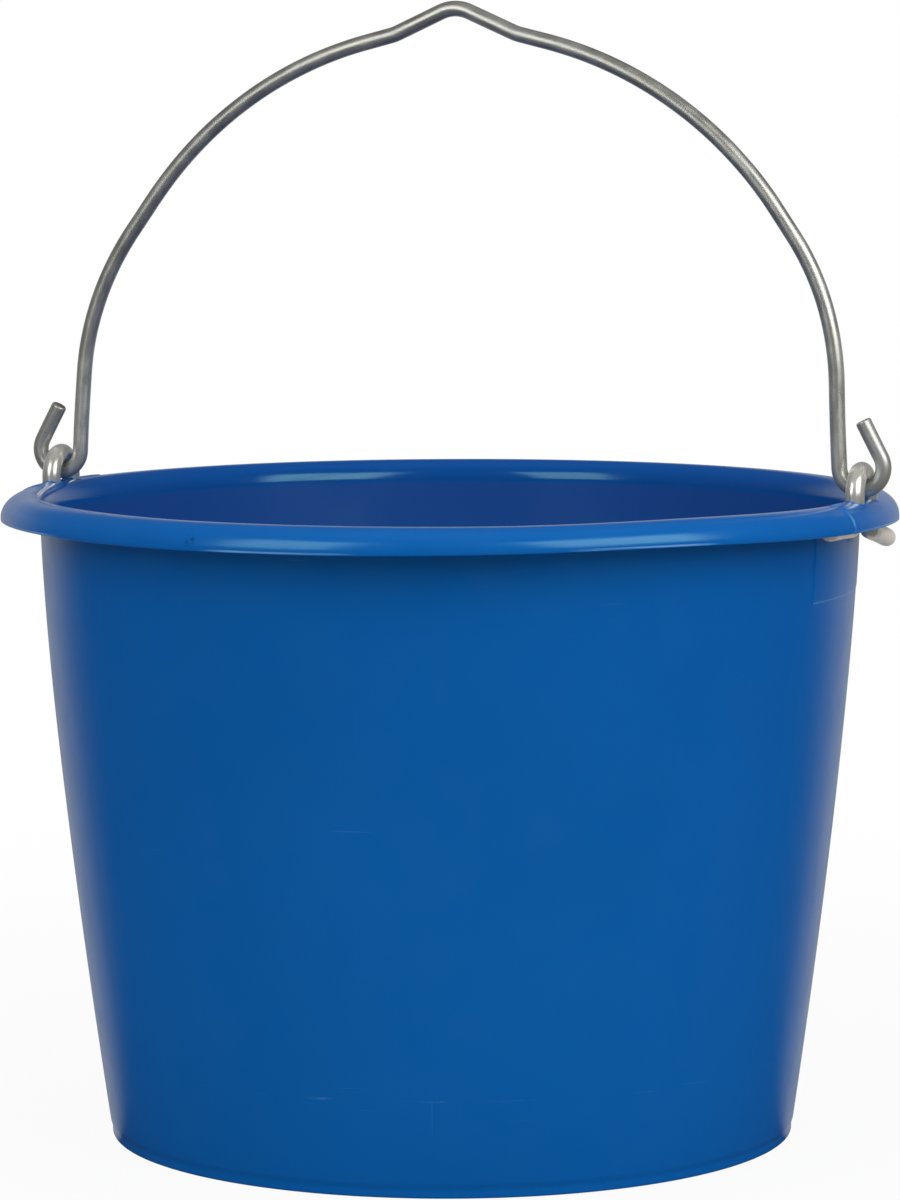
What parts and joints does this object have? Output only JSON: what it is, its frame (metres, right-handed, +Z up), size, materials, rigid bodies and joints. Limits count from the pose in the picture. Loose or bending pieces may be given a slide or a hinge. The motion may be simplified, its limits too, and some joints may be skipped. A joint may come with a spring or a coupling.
{
  "type": "feed bucket",
  "caption": "Round tapered moulded bucket with a rolled lip, two ear blocks with clenched wire eyes, and a hooked wire bail that swings and has a raised hand peak.",
  "frame": {"origin": "centre of the foot ring, on the ground", "axes": "+Z up along the tub's axis, +X through the right-hand eye, +Y to the back"},
  "size_m": [0.3252, 0.32, 0.4035],
  "materials": {
    "tub": "moulded blue polyethylene, satin",
    "eye_wire": "galvanised wire, dull",
    "bail_wire": "galvanised wire, dull"
  },
  "bodies": {
    "tub": {"tub": "tub", "eye_left": "eye_wire", "eye_right": "eye_wire"},
    "bail": {"bail": "bail_wire"}
  },
  "joints": [
    {"name": "bail_swing", "type": "hinge", "parent": "tub", "child": "bail", "pos_m": [0, 0, 0.2336], "axis": [1, 0, 0], "range_deg": [-90, 90]}
  ]
}
